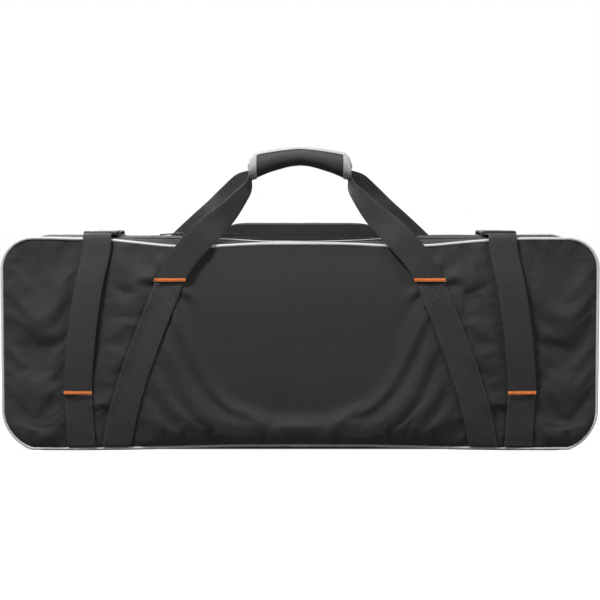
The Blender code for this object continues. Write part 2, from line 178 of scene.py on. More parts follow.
def wear_group():
    """Soft handling marks and dust: a broad mask and a fine one, over the place in the object."""
    made, given, out = group_of(
        "wear",
        [("Place", "NodeSocketVector")],
        [("Broad", "NodeSocketFloat"), ("Fine", "NodeSocketFloat")],
    )
    broad = noise_node(made, given.outputs["Place"], 9, 4)
    fine = noise_node(made, given.outputs["Place"], 120, 4, 0.7)
    made.links.new(broad, out.inputs["Broad"])
    made.links.new(math_node(made, "POWER", fine, 3.0), out.inputs["Fine"])
    return made


WEAVE = weave_group()
WEAR = wear_group()


def shader_of(name):
    """A new material, with its tree and its Principled shader."""
    made = bpy.data.materials.new(name)
    made.use_nodes = True
    return made, made.node_tree, made.node_tree.nodes["Principled BSDF"]


def ramp(tree, value, dark, light, low=0.0, high=1.0):
    """A colour between two, by a value between low and high."""
    node = tree.nodes.new("ShaderNodeValToRGB")
    node.color_ramp.elements[0].position = low
    node.color_ramp.elements[1].position = high
    node.color_ramp.elements[0].color = (*dark, 1)
    node.color_ramp.elements[1].color = (*light, 1)
    tree.links.new(value, node.inputs[0])
    return node.outputs[0]


def bump(tree, shader, height, distance, strength=1.0):
    node = tree.nodes.new("ShaderNodeBump")
    node.inputs["Distance"].default_value = distance
    node.inputs["Strength"].default_value = strength
    tree.links.new(height, node.inputs["Height"])
    tree.links.new(node.outputs["Normal"], shader.inputs["Normal"])


def place_of(tree):
    return tree.nodes.new("ShaderNodeTexCoord").outputs["Object"]


def wear_of(tree):
    node = tree.nodes.new("ShaderNodeGroup")
    node.node_tree = WEAR
    tree.links.new(place_of(tree), node.inputs["Place"])
    return node


def woven(name, dark, light, threads, roughness, depth, sheen=0.3, satin=0.0):
    """Woven cloth: threads is how many threads there are in a metre, across and along."""
    made, tree, shader = shader_of(name)
    cut = tree.nodes.new("ShaderNodeUVMap")
    cut.uv_map = "cut"
    weave = tree.nodes.new("ShaderNodeGroup")
    weave.node_tree = WEAVE
    tree.links.new(cut.outputs[0], weave.inputs["Cut"])
    weave.inputs["Across"].default_value = threads[0] * pi
    weave.inputs["Along"].default_value = threads[1] * pi
    wear = wear_of(tree)
    # base colour: the weave's painted shade in its hollows, plus real handling marks and dust
    shade = plus(tree, plus(tree, weave.outputs["Light"], wear.outputs["Broad"], 0.35), wear.outputs["Fine"], 0.5)
    tree.links.new(ramp(tree, shade, dark, light, 0.15, 1.25), shader.inputs["Base Color"])
    tree.links.new(plus(tree, roughness - 0.06, wear.outputs["Broad"], 0.12), shader.inputs["Roughness"])
    shader.inputs["Sheen Weight"].default_value = sheen
    shader.inputs["Sheen Roughness"].default_value = 0.45
    shader.inputs["Specular IOR Level"].default_value = 0.22 + satin
    bump(tree, shader, weave.outputs["Height"], depth)
    return made


def moulded(name, dark, light, roughness, grain, depth, metal=0.0):
    """Moulded plastic or cast metal with a fine grain and handling marks."""
    made, tree, shader = shader_of(name)
    wear = wear_of(tree)
    shade = plus(tree, wear.outputs["Fine"], wear.outputs["Broad"], 0.7)
    tree.links.new(ramp(tree, shade, dark, light, 0.2, 1.1), shader.inputs["Base Color"])
    grit = noise_node(tree, place_of(tree), grain, 3, 0.6)
    tree.links.new(plus(tree, roughness - 0.09, grit, 0.18), shader.inputs["Roughness"])
    shader.inputs["Metallic"].default_value = metal
    bump(tree, shader, grit, depth, 0.6)
    return made


def thread(name, dark, light, roughness=0.5):
    """Twisted sewing thread, with painted shade in the grooves of its twist."""
    made, tree, shader = shader_of(name)
    twist = tree.nodes.new("ShaderNodeTexWave")
    twist.bands_direction = "DIAGONAL"
    twist.inputs["Scale"].default_value = 700
    twist.inputs["Distortion"].default_value = 1.5
    tree.links.new(place_of(tree), twist.inputs["Vector"])
    wear = wear_of(tree)
    # painted shade: the twist's ridges lighter and its grooves darker in colour, over real handling marks
    shade = plus(tree, wear.outputs["Broad"], twist.outputs["Fac"], 0.5)
    tree.links.new(ramp(tree, shade, dark, light, 0.2, 1.2), shader.inputs["Base Color"])
    shader.inputs["Roughness"].default_value = roughness
    shader.inputs["Sheen Weight"].default_value = 0.2
    bump(tree, shader, twist.outputs["Fac"], 0.0001)
    return made


BLACK_WARP = (0.0028, 0.0028, 0.0032)
FINISHES = {
    name: maker(name, *settings)
    for name, maker, *settings in (
        # threads in a metre across and along, roughness, depth of the weave, sheen, satin
        ("shell_fabric", woven, (0.0035, 0.0035, 0.004), (0.0225, 0.0225, 0.0235), (820, 820), 0.8, 0.0003, 0.06),
        ("lining_fabric", woven, (0.05, 0.05, 0.055), (0.13, 0.13, 0.14), (1400, 1400), 0.6, 0.00012, 0.1, 0.1),
        ("webbing", woven, BLACK_WARP, (0.0185, 0.0185, 0.0195), (560, 900), 0.66, 0.00045, 0.06, 0.05),
        ("zip_tape", woven, (0.004, 0.004, 0.0045), (0.020, 0.020, 0.021), (1500, 900), 0.75, 0.0002, 0.05),
        ("grip_fabric", woven, (0.0055, 0.0055, 0.006), (0.040, 0.040, 0.041), (1000, 1000), 0.7, 0.0003, 0.05),
        ("binding_tape", woven, (0.13, 0.125, 0.13), (0.30, 0.29, 0.30), (1300, 700), 0.6, 0.00025, 0.1),
        ("piping_cord", woven, (0.20, 0.195, 0.20), (0.44, 0.43, 0.44), (1500, 1500), 0.5, 0.00012, 0.05, 0.1),
        # roughness, size and depth of the grain, metal
        ("foam_padding", moulded, (0.22, 0.22, 0.23), (0.42, 0.42, 0.43), 0.93, 900, 0.0006),
        ("stiff_board", moulded, (0.03, 0.03, 0.03), (0.07, 0.07, 0.07), 0.5, 300, 0.0003),
        ("zip_coil", moulded, (0.006, 0.006, 0.0065), (0.020, 0.020, 0.021), 0.5, 500, 0.0001),
        ("zip_metal", moulded, (0.02, 0.02, 0.022), (0.07, 0.07, 0.075), 0.42, 700, 0.0001, 0.7),
        ("buckle_plastic", moulded, (0.006, 0.006, 0.0065), (0.022, 0.022, 0.023), 0.36, 1300, 0.00012),
        ("bartack_thread", thread, (0.42, 0.070, 0.003), (0.86, 0.22, 0.015)),
        ("seam_thread", thread, (0.005, 0.005, 0.0055), (0.030, 0.030, 0.032), 0.6),
    )
}


# ---------------------------------------------------------------- modelling helpers


def choose(piece):
    """Makes one object the only selected and the active one."""
    bpy.ops.object.select_all(action="DESELECT")
    piece.select_set(True)
    bpy.context.view_layer.objects.active = piece


def apply(piece, kind, **settings):
    """Adds a modifier and applies it."""
    choose(piece)
    change = piece.modifiers.new(kind, kind)
    for setting, value in settings.items():
        setattr(change, setting, value)
    bpy.ops.object.modifier_apply(modifier=change.name)


def dress(piece, finish, body, *nodes, slot=None):
    """Gives a piece its finish and its body, and hides the CAD nodes that it stands for."""
    piece.data.materials.clear()
    piece.data.materials.append(FINISHES[finish])
    slot or finish
    if body:
        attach(piece, body)
    if nodes:
        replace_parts(piece, *nodes)
    return piece


def add_mesh(name, shape):
    mesh = bpy.data.meshes.new(name)
    shape.to_mesh(mesh)
    shape.free()
    piece = bpy.data.objects.new(name, mesh)
    bpy.context.scene.collection.objects.link(piece)
    return piece


def grid_sheet(name, rows):
    """A smooth open sheet through rows of points, with a map of its own cut in metres."""
    across, down = len(rows[0]) - 1, len(rows) - 1
    shape = bmesh.new()
    bmesh.ops.create_grid(shape, x_segments=across, y_segments=down, size=1)
    cut = shape.loops.layers.uv.new("cut")
    runs = []
    for row in rows:
        far = [0.0]
        for start, end in zip(row, row[1:]):
            far.append(far[-1] + (Vector(end) - Vector(start)).length)
        runs.append([place - far[-1] / 2 for place in far])
    middle = across // 2
    rise = [0.0]
    for below, above in zip(rows, rows[1:]):
        rise.append(rise[-1] + (Vector(above[middle]) - Vector(below[middle])).length)
    for face in shape.faces:
        for loop in face.loops:
            column = round((loop.vert.co.x + 1) / 2 * across)
            line = round((loop.vert.co.y + 1) / 2 * down)
            loop[cut].uv = (runs[line][column], rise[line])
    for vert in shape.verts:
        vert.co = rows[round((vert.co.y + 1) / 2 * down)][round((vert.co.x + 1) / 2 * across)]
    piece = add_mesh(name, shape)
    piece.data.shade_smooth()
    return piece


def sheet_by(name, lines, columns, place):
    """A sheet whose points a rule gives, from a share along it and a share across it."""
    shares = [[(line / lines, column / columns) for column in range(columns + 1)] for line in range(lines + 1)]
    return grid_sheet(name, [[place(*pair) for pair in row] for row in shares])


def thicken(piece, thickness, offset=0.0, edge=0.0):
    """Gives a sheet its thickness, and rounds its cut edges."""
    apply(piece, "SOLIDIFY", thickness=thickness, offset=offset, use_even_offset=True)
    if edge:
        apply(piece, "BEVEL", width=edge, segments=2, limit_method="ANGLE", angle_limit=radians(55))
    choose(piece)
    bpy.ops.object.shade_smooth_by_angle(angle=radians(50))
    return piece


def slump(x, y, z):
    """How the soft case gives under its own weight: its top dips along the middle, most at its edges."""
    far = abs(x)
    front_dip = 0.0105 * exp(-(((far - 0.155) / 0.085) ** 2)) + 0.0068 * exp(-((far / 0.10) ** 2))
    zip_dip = 0.0072 * exp(-((far / 0.105) ** 2)) + 0.0004
    middle_dip = 0.0090 * exp(-((far / 0.14) ** 2))
    rear_dip = 0.0112 * exp(-((far / 0.17) ** 2))
    dip = mix(front_dip, zip_dip, smooth(-0.098, -0.070, y))
    dip = mix(mix(dip, middle_dip, smooth(-0.060, 0.0, y)), rear_dip, smooth(0.02, 0.095, y))
    lift = 0.0045 * (1 - smooth(0.05, 0.30, far)) * smooth(-0.068, -0.098, y)
    return z - dip * smooth(0.15, HEIGHT, z) + lift * smooth(0.10, 0.0, z)


def outline(inset, first=-180, last=180, fine=3.0, straight=0.012):
    """Points and outward directions of the side-on outline, between two angles round its corners."""
    points = []
    corners = (
        (-180, -1, BOTTOM_RADIUS, BOTTOM_RADIUS),
        (-90, 1, BOTTOM_RADIUS, BOTTOM_RADIUS),
        (0, 1, TOP_RADIUS, HEIGHT - TOP_RADIUS),
        (90, -1, TOP_RADIUS, HEIGHT - TOP_RADIUS),
        (180, -1, BOTTOM_RADIUS, BOTTOM_RADIUS),
    )
    for start, side, radius, middle in corners:
        low, high = max(first, start), min(last, start + 90)
        if low >= high:
            continue
        steps = max(1, round((high - low) / fine))
        for step in range(steps + 1):
            angle = radians(mix(low, high, step / steps))
            out = (cos(angle), sin(angle))
            reach = radius - inset
            place = (side * (HALF - radius) + reach * out[0], middle + reach * out[1])
            if points and step == 0:
                before, _ = points[-1]
                gap = hypot(place[0] - before[0], place[1] - before[1])
                parts = max(1, round(gap / straight))
                for part in range(1, parts):
                    share = part / parts
                    points.append(((mix(before[0], place[0], share), mix(before[1], place[1], share)), out))
            points.append((place, out))
    return points


def rounded_place(across, up, inset):
    """Carries a place on a square of side 2 to the rounded outline of a panel."""
    ring = max(abs(across), abs(up))
    if ring == 0:
        return 0, HEIGHT / 2
    radius = (TOP_RADIUS if up > 0 else BOTTOM_RADIUS) - inset
    half_length, half_height = HALF - inset, HEIGHT / 2 - inset
    x, z = half_length * across / ring, half_height * up / ring
    corner_x, corner_z = half_length - radius, half_height - radius
    if abs(x) > corner_x and abs(z) > corner_z:
        beyond_x, beyond_z = abs(x) - corner_x, abs(z) - corner_z
        far = hypot(beyond_x, beyond_z)
        x = (corner_x + radius * beyond_x / far) * (1 if x > 0 else -1)
        z = (corner_z + radius * beyond_z / far) * (1 if z > 0 else -1)
    return ring * x, HEIGHT / 2 + ring * z


def fullness(x, z):
    """How full a padded panel is at a place: 1 in its middle and 0 at its piping."""
    along = min(1, abs(x) / HALF)
    up = min(1, abs(2 * z / HEIGHT - 1))
    return (1 - along**3) * (1 - up**3)


class Band:
    """A flat band through stations, each a middle and half of its width, with a smooth run between them."""

    def __init__(self, stations, fine=8):
        self.stations = [(Vector(middle), Vector(half)) for middle, half in stations]
        self.fine = fine
        self.far = [0.0]
        for (start, _), (end, _) in zip(self.stations, self.stations[1:]):
            self.far.append(self.far[-1] + (end - start).length)
        self.length = self.far[-1]

    def station(self, share):
        """The middle and half width at a share of the band's length."""
        want = min(max(share, 0), 1) * self.length
        part = next((i for i in range(len(self.far) - 2) if want < self.far[i + 1]), len(self.far) - 2)
        t = (want - self.far[part]) / (self.far[part + 1] - self.far[part])
        last = len(self.stations) - 1
        four = [self.stations[min(max(part + step, 0), last)] for step in (-1, 0, 1, 2)]
        out = []
        for kind in (0, 1):
            a, b, c, d = (station[kind] for station in four)
            out.append(
                0.5
                * ((2 * b) + (c - a) * t + (2 * a - 5 * b + 4 * c - d) * t * t + (3 * b - a - 3 * c + d) * t**3)
            )
        return out

    def at(self, share, across, lift=0.0):
        """A place on the band and its face's direction; across runs from -1 to 1."""
        middle, half = self.station(share)
        ahead, _ = self.station(min(share + 0.004, 1))
        behind, _ = self.station(max(share - 0.004, 0))
        normal = (ahead - behind).cross(half).normalized()
        return middle + half * across + normal * lift, normal

    def piece(self, name):
        lines = self.fine * (len(self.stations) - 1)
        band = sheet_by(name, lines, 6, lambda along, across: self.at(along, 2 * across - 1)[0])
        return thicken(band, WEB, 0.0, 0.0004)


def seeds(name, spots, finish, body, slot):
    """Many short stitches as one piece: each spot is its middle, its run and its width."""
    template = bmesh.new()
    bmesh.ops.create_icosphere(template, subdivisions=1, radius=1)
    corners = [vert.co.copy() for vert in template.verts]
    faces = [[vert.index for vert in face.verts] for face in template.faces]
    template.free()
    points, polygons = [], []
    for middle, run, width, face_direction in spots:
        along = run.normalized()
        side = along.cross(face_direction).normalized()
        up = side.cross(along)
        start = len(points)
        half = run.length / 2
        for corner in corners:
            points.append(middle + along * corner.x * half + side * corner.y * width + up * corner.z * width * 0.7)
        polygons.extend([[start + corner for corner in face] for face in faces])
    mesh = bpy.data.meshes.new(name)
    mesh.from_pydata(points, [], polygons)
    mesh.shade_smooth()
    piece = bpy.data.objects.new(name, mesh)
    bpy.context.scene.collection.objects.link(piece)
    return dress(piece, finish, body, slot=slot)


def stitch_spots(places, pitch=0.0036, length=0.0026, width=0.0004):
    """Evenly spaced stitches along a run of (place, direction of its face)."""
    spots, left = [], pitch / 2
    for (start, face), (end, _) in zip(places, places[1:]):
        run = end - start
        far = run.length
        while left < far:
            spots.append((start + run * (left / far), run.normalized() * length, width, face))
            left += pitch
        left -= far
    return spots


def band_line(band, first, last, across_first, across_last, lift, steps=40):
    """A run of places on a band's face, from one share of its length to another."""
    return [
        band.at(mix(first, last, step / steps), mix(across_first, across_last, step / steps), lift)
        for step in range(steps + 1)
    ]


def sew_edges(name, band, body, first=0.0, last=1.0, lift=WEB / 2 + 0.0002):
    """Stitches along both edges of a band."""
    spots = []
    for across in (-0.88, 0.88):
        spots += stitch_spots(band_line(band, first, last, across, across, lift))
    return seeds(name, spots, "seam_thread", body, "webbing")


def box_and_cross(name, band, body, first, last, lift=WEB / 2 + 0.0003):
    """The sewn square with its diagonals that anchors a strap."""
    spots = []
    for start, end, left, right in (
        (first, first, -0.72, 0.72),
        (last, last, -0.72, 0.72),
        (first, last, -0.72, -0.72),
        (first, last, 0.72, 0.72),
        (first, last, -0.72, 0.72),
        (first, last, 0.72, -0.72),
    ):
        spots += stitch_spots(band_line(band, start, end, left, right, lift, 20), 0.0032, 0.0026, 0.0005)
    return seeds(name, spots, "seam_thread", body, "webbing")


def bartack(name, band, share, body, *nodes, reach=0.94, over=0.0):
    """A dense bar of orange zigzag stitches across a band, over whatever else it sews down."""
    spots = []
    lift = WEB / 2 + 0.0006 + over
    tall = 0.0017 / band.length
    count = 34
    for turn in range(count):
        left, right = mix(-reach, reach, turn / count), mix(-reach, reach, (turn + 1) / count)
        start, face = band.at(share - tall, left, lift)
        end, _ = band.at(share + tall, right, lift)
        spots.append(((start + end) / 2, (end - start) * 1.05, 0.00055, face))
    for edge in (share - tall * 1.1, share + tall * 1.1):
        spots += stitch_spots(band_line(band, edge, edge, -reach, reach, lift, 12), 0.0024, 0.0026, 0.0005)
    piece = seeds(name, spots, "bartack_thread", body, "bartack_thread")
    if nodes:
        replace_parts(piece, *nodes)
    return piece


# ---------------------------------------------------------------- padded panels


def gathers(along, far, seed):
    """Small puckers where fabric is eased into a seam, fading with the distance from the seam."""
    wave = noise.noise(Vector((along * 38, seed, 0.0))) + 0.5 * noise.noise(Vector((along * 90, seed + 7, 0.0)))
    return wave * exp(-far / 0.014)


def seam_distance(x, z, runs):
    """How far a place is from the nearest stitched edge of a sewn webbing, and whether it is under one."""
    best, under = 1.0, False
    for foot, head in runs:
        for side in (-1, 1):
            start, end = Vector((side * foot[0], foot[1])), Vector((side * head[0], head[1]))
            run = end - start
            share = min(1, max(0, (Vector((x, z)) - start).dot(run) / run.length_squared))
            far = (Vector((x, z)) - (start + run * share)).length
            under = under or far < WEB_HALF
            best = min(best, abs(far - WEB_HALF * 0.9))
    return best, under


def pressed(x, z):
    """How firmly a loose lash strap holds the panel flat at a place, from 0 to 1."""
    start, run = Vector((LASH_X, LASH_Z)), Vector((LASH_TOP_X - LASH_X, HEIGHT - LASH_Z))
    place = Vector((abs(x), z)) - start
    share = min(1, max(0, place.dot(run) / run.length_squared))
    return 1 - smooth(WEB_HALF * 0.9, WEB_HALF + 0.020, (place - run * share).length)


def drawn_folds(x, z):
    """Soft folds that run out from where the straps pull on the front, and the hollows beside the handle's feet."""
    depth = 0.0
    far_x = abs(x)
    for anchor_x, anchor_z, count, turn, strength in (
        (FRONT_WEB[1][0], FRONT_WEB[1][1], 7, 0.6, 0.0036),
        (LASH_X, LASH_Z, 5, 1.9, 0.0026),
        (LASH_TOP_X, HEIGHT - 0.012, 4, 0.2, 0.0030),
        (HALF - 0.03, 0.035, 5, 2.4, 0.0026),
    ):
        step_x, step_z = far_x - anchor_x, z - anchor_z
        far = hypot(step_x, step_z)
        spoke = sin(count * atan2(step_z, step_x) + turn + 2.2 * noise.noise(Vector((x * 9, z * 9, 8.0))))
        depth += strength * spoke * smooth(0.004, 0.030, far) * exp(-far / 0.070)
    hollow = exp(-(((far_x - 0.088) / 0.030) ** 2) - ((z - 0.248) / 0.016) ** 2)
    roll = noise.noise(Vector((x * 7 + z * 5, z * 11 - x * 3, 4.0)))
    return depth - 0.0034 * hollow + 0.0022 * roll


def relax(piece, held, frames, pressure, slack, cap):
    """Lets fabric settle as cloth held along its seams, with a limit on how far any point goes."""
    start = [vert.co.copy() for vert in piece.data.vertices]
    group = piece.vertex_groups.new(name="held")
    for index, weight in enumerate(held):
        group.add([index], weight, "REPLACE")
    choose(piece)
    cloth = piece.modifiers.new("Cloth", "CLOTH")
    for setting, value in (
        ("quality", 6), ("mass", 0.25), ("air_damping", 3), ("tension_stiffness", 30), ("compression_stiffness", 30),
        ("shear_stiffness", 12), ("bending_stiffness", 1.0), ("use_pressure", True),
        ("uniform_pressure_force", pressure), ("shrink_min", -slack), ("vertex_group_mass", "held"),
    ):
        setattr(cloth.settings, setting, value)
    cloth.settings.effector_weights.gravity = 0.5
    cloth.collision_settings.use_collision = False
    cloth.point_cache.frame_start = 1
    cloth.point_cache.frame_end = frames
    for step in range(1, frames + 1):
        bpy.context.scene.frame_set(step)
    bpy.ops.object.modifier_apply(modifier=cloth.name)
    piece.vertex_groups.clear()
    bpy.context.scene.frame_set(1)
    for vert, before in zip(piece.data.vertices, start):
        move = vert.co - before
        if move.length > cap:
            vert.co = before + move * (cap / move.length)


def panel_face(out, x, z, share=1.0):
    """Where the face of a panel lies when it is padded to a share of its full depth."""
    plane, full = (FRONT, FRONT_FULL) if out < 0 else (REAR, REAR_FULL)
    return mix(plane, full, fullness(x, z) * share)


def panel_cover(name, out, size, runs, calm, settle, body, *nodes):
    """A padded panel sewn between its piping and its webbing. out is -1 on the front and 1 on the rear."""
    columns, lines = size
    inset = PIPING + 0.0004

    def flat_place(up, across):
        x, z = rounded_place(-out * (2 * across - 1), 2 * up - 1, inset)
        z = max(z, PIPING_LOW + inset)
        y = panel_face(out, x, z, COVER_FILL)
        return x, y, slump(x, y, z)

    piece = sheet_by(name, lines, columns, flat_place)
    held = []
    for vert in piece.data.vertices:
        x, _, z = vert.co
        line, column = divmod(vert.index, columns + 1)
        ring = max(abs(2 * column / columns - 1), abs(2 * line / lines - 1))
        near, under = seam_distance(x, z, runs)
        held.append(max(1.0 if ring > 0.9999 else 0, 1 - smooth(0.001, 0.005, near), 0.5 if under else 0, calm(x, z)))
        if out < 0:
            held[-1] = max(held[-1], 0.7 * pressed(x, z))
    pressure, slack, cap = settle
    relax(piece, held, 22, pressure, slack, cap)
    for vert in piece.data.vertices:
        x, y, z = vert.co
        near, under = seam_distance(x, z, runs)
        border = max(0, min(HALF - abs(x), HEIGHT - z, z) - 0.004)
        along = x if min(HEIGHT - z, z) < HALF - abs(x) else z
        ease = smooth(0.0, 0.006, border)
        lift = 0.0011 * gathers(along, border, 3 + out) * ease
        lift += (0 if under else 0.0007) * gathers(z, near, 5 + out) * ease
        lift += 0.0004 * noise.noise(Vector((x * 60, z * 60, 3.0 + out))) * ease
        if out < 0:
            lift += drawn_folds(x, z) * smooth(0.0, 0.035, border) * (0.35 if under else 1)
            lift *= 1 - 0.8 * pressed(x, z)
        rest = panel_face(out, x, z, COVER_FILL)
        proud = out * (y - rest) + lift - 0.0008 * exp(-near / 0.004) * ease
        if proud < 0:
            proud = -PANEL_GIVE * tanh(-proud / PANEL_GIVE)
        vert.co.y = rest + out * proud
        if out > 0 and calm(x, z) > 0.5:
            vert.co.y = min(vert.co.y, POCKET_FRONT - 0.0004)
    tree = BVHTree.FromPolygons(
        [vert.co.copy() for vert in piece.data.vertices], [tuple(face.vertices) for face in piece.data.polygons]
    )
    thicken(piece, PANEL_THICK, -1.0)
    dress(piece, "shell_fabric", body, *nodes)
    return tree


COVER_FILL = 0.94  # how far the padding fills a cover, before it settles
PANEL_THICK = 0.0054
PANEL_GIVE = 0.0048  # how far a panel may sink before it would touch its lining
POCKET_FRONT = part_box("pocket_back")[0][1]
POCKET_LOW, POCKET_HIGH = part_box("pocket_back")[0][2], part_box("pocket_back")[1][2]
POCKET_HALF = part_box("pocket_back")[1][0]
POCKET_RADIUS = 0.065
LASH_BASE = (LASH_FOOT, (LASH_X, LASH_Z))
REAR_STRAP = (LASH_FOOT, (LASH_TOP_X, HEIGHT))

front_tree = panel_cover(
    "front_cover", -1, (180, 66), (FRONT_WEB, LASH_BASE), lambda x, z: 0, (0.6, 0.030, 0.0095),
    "lid", "front_panel", "front_padding",
)
rear_tree = panel_cover(
    "rear_cover", 1, (120, 44), (REAR_WEB, REAR_STRAP),
    lambda x, z: 1.0 if abs(x) < POCKET_HALF + 0.004 and z > POCKET_LOW - 0.004 else 0, (0.4, 0.010, 0.006),
    "case", "rear_panel", "rear_padding",
)


# ---------------------------------------------------------------- walls, linings, piping and zip


def strip(name, run, y_rear, y_front, across, shape=lambda x, y, z, share: 0):
    """A strip that follows the outline, from its rear edge to its front edge."""

    def place(share, along):
        (x, z), (out_x, out_z) = run[round(along * (len(run) - 1))]
        y = mix(y_rear, y_front, share)
        rise = shape(x, y, z, share)
        return x + out_x * rise, y, slump(x, y, z + out_z * rise)

    return sheet_by(name, across, len(run) - 1, place)


def soft(width, seed, sag):
    """How a soft wall sinks a little between its seams, with puckers along both."""

    def rise(x, y, z, share):
        edge = min(share, 1 - share)
        broad = noise.noise(Vector((x * 8, y * 14, z * 8 + seed))) * smooth(0, 0.3, edge)
        pucker = gathers(x + z, edge * width, seed) * smooth(0, 0.05, edge)
        crown = 0.0030 * exp(-(((abs(x) - 0.19) / 0.07) ** 2)) if sag < 0.001 else 0
        return (crown - sag) * sin(pi * share) + 0.0016 * broad + 0.0007 * pucker

    return rise


def declare_sheet(piece):
    """Works out the flat width and length that a thin fabric piece was cut to, while it is still one open sheet;
    nothing is done with them.
    """
    area = sum(face.area for face in piece.data.polygons)
    layer = piece.data.uv_layers["cut"].data
    width = max(loop.uv[0] for loop in layer) - min(loop.uv[0] for loop in layer)
    length = max(area / width, max(loop.uv[1] for loop in layer))


for name, first, last, seed, nodes in (
    ("top_skin", 45, 135, 1, ("top_panel", "wall_padding")),
    ("right_end_skin", -40, 45, 2, ("right_end_panel",)),
    ("left_end_skin", 135, 220, 3, ("left_end_panel",)),
):
    shape = soft(WALL_REAR - WALL_FRONT, seed, 0.0002 if name == "top_skin" else 0.0022)
    skin = strip(name, outline(0, first, last), REAR - 0.0008, WALL_FRONT, 34, shape)
    thicken(skin, 0.0080, -1.0)
    dress(skin, "shell_fabric", "case", *nodes)

skin = strip("base_skin", outline(0, -140, ZIP_END), REAR - 0.0008, FRONT + 0.003, 20)
declare_sheet(skin)
thicken(skin, 0.0013, -1.0)
dress(skin, "shell_fabric", "case", "base_panel")

rim = strip("rim_skin", outline(0, ZIP_END, 220), RIM_REAR, FRONT + 0.0008, 12, soft(0.022, 4, 0.0006))
thicken(rim, 0.0072, -1.0)
dress(rim, "shell_fabric", "lid", "lid_rim", "lid_rim_padding")


low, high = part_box("base_padding")
pad = strip("base_foam", outline(low[2], -138, -42), high[1], low[1], 8)
thicken(pad, 0.0055, -1.0, 0.0006)
dress(pad, "foam_padding", "case", "base_padding")


def quilted(x, z):
    """The shallow dents of a quilted lining, along slanting lines of stitches."""
    first = abs(((x + z) * 14) % 1 - 0.5) * 2
    second = abs(((x - z) * 14) % 1 - 0.5) * 2
    return min(smooth(0, 0.30, first), smooth(0, 0.30, second))


QUILT_BEHIND = 0.0108  # how far the lining lies behind the full panel's face


def quilt_panel(name, out, node, body):
    """The quilted lining behind a padded panel, with its dents on the inside."""
    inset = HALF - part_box(node)[1][0]

    def place(up, across):
        x, z = rounded_place(out * (2 * across - 1), 2 * up - 1, inset)
        y = panel_face(out, x, z) - out * (QUILT_BEHIND + 0.0014 * quilted(x, z))
        return x, y, slump(x, y, z)

    piece = sheet_by(name, 60, 160, place)
    declare_sheet(piece)
    thicken(piece, 0.0008, 1.0)
    dress(piece, "lining_fabric", body, node)


quilt_panel("front_quilt", -1, "front_lining", "lid")
quilt_panel("rear_quilt", 1, "rear_lining", "case")
for name, node, first, last in (
    ("wall_quilt", "wall_lining", ZIP_END, 220),
    ("base_quilt", "base_lining", -140, ZIP_END),
):
    low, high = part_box(node)
    piece = strip(
        name, outline(0.0104, first, last, 2, 0.006), low[1], high[1], 30,
        lambda x, y, z, share: -0.0006 - 0.0010 * quilted(x + z, y),
    )
    declare_sheet(piece)
    thicken(piece, 0.0008, -1.0)
    dress(piece, "lining_fabric", "case", node)


def tube(name, path, radius, sides=10):
    """A round cord along a path in the plane of a panel, closed on itself."""
    points, faces, maps = [], [], []
    count = len(path)
    far, fars = 0, []
    for index, place in enumerate(path):
        ahead, behind = path[(index + 1) % count], path[index - 1]
        side = (ahead - behind).normalized().cross(Vector((0, 1, 0)))
        fars.append(far)
        far += (ahead - place).length
        for turn in range(sides):
            angle = 2 * pi * turn / sides
            points.append(place + (side * cos(angle) + Vector((0, sin(angle), 0))) * radius(place))
    for index in range(count):
        after = (index + 1) % count
        for turn in range(sides):
            beside = (turn + 1) % sides
            faces.append((index * sides + turn, after * sides + turn, after * sides + beside, index * sides + beside))
            u, v = 2 * pi * PIPING * turn / sides, 2 * pi * PIPING * (turn + 1) / sides
            end = fars[after] if after else far
            maps.append(((u, fars[index]), (u, end), (v, end), (v, fars[index])))
    mesh = bpy.data.meshes.new(name)
    mesh.from_pydata(points, [], faces)
    cut = mesh.uv_layers.new(name="cut")
    for face, corners in zip(mesh.polygons, maps):
        for loop, uv in zip(face.loop_indices, corners):
            cut.data[loop].uv = uv
    mesh.shade_smooth()
    piece = bpy.data.objects.new(name, mesh)
    bpy.context.scene.collection.objects.link(piece)
    choose(piece)
    bpy.ops.object.mode_set(mode="EDIT")
    bpy.ops.mesh.select_all(action="SELECT")
    bpy.ops.mesh.normals_make_consistent(inside=False)
    bpy.ops.object.mode_set(mode="OBJECT")
    return piece


def loop_path(plane, seed):
    """The piping's wavy run round the outline of a panel."""
    run = [place for place, _ in outline(0.0003, -180, 180, 3, 0.005)]
    top = run[-1][1]
    steps = round((top - run[0][1]) / 0.005)
    run += [(run[0][0], mix(top, run[0][1], step / steps)) for step in range(1, steps)]
    path = []
    for x, z in run:
        z = max(z, PIPING_LOW)
        wave = noise.noise(Vector((x * 22, z * 22, seed)))
        waver = 0.0009 * noise.noise(Vector((x * 16, z * 16, seed + 4)))
        high = slump(x, plane, z) + (waver if z > 0.02 else 0.3 * abs(waver))
        path.append(Vector((x, plane + 0.0009 * wave, high)))
    return path


def piping_radius(place):
    """The piping is a little thicker on both sides of where its ends meet, in the middle of the base."""
    return PIPING * (1 + (0.30 * exp(-(((abs(place.x) - 0.0065) / 0.004) ** 2)) if place.z < 0.02 else 0))


for name, plane, seed, node, body in (
    ("front_cord", FRONT, 2.0, "front_piping", "lid"), ("rear_cord", REAR, 9.0, "rear_piping", "case"),
):
    dress(tube(name, loop_path(plane, seed), piping_radius), "piping_cord", body, node)

for body, under, past_rear, past_front in (("lid", "rim_skin", 0, 0.001), ("case", "top_skin", 0.001, 0)):
    low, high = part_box(f"{body}_zip_tape")
    tape = strip(f"{body}_tape", outline(0.0016, ZIP_END, 220), high[1] + past_rear, low[1] - past_front, 3)
    declare_sheet(tape)
    thicken(tape, 0.0007, -1.0)
    dress(tape, "zip_tape", body, f"{body}_zip_tape")


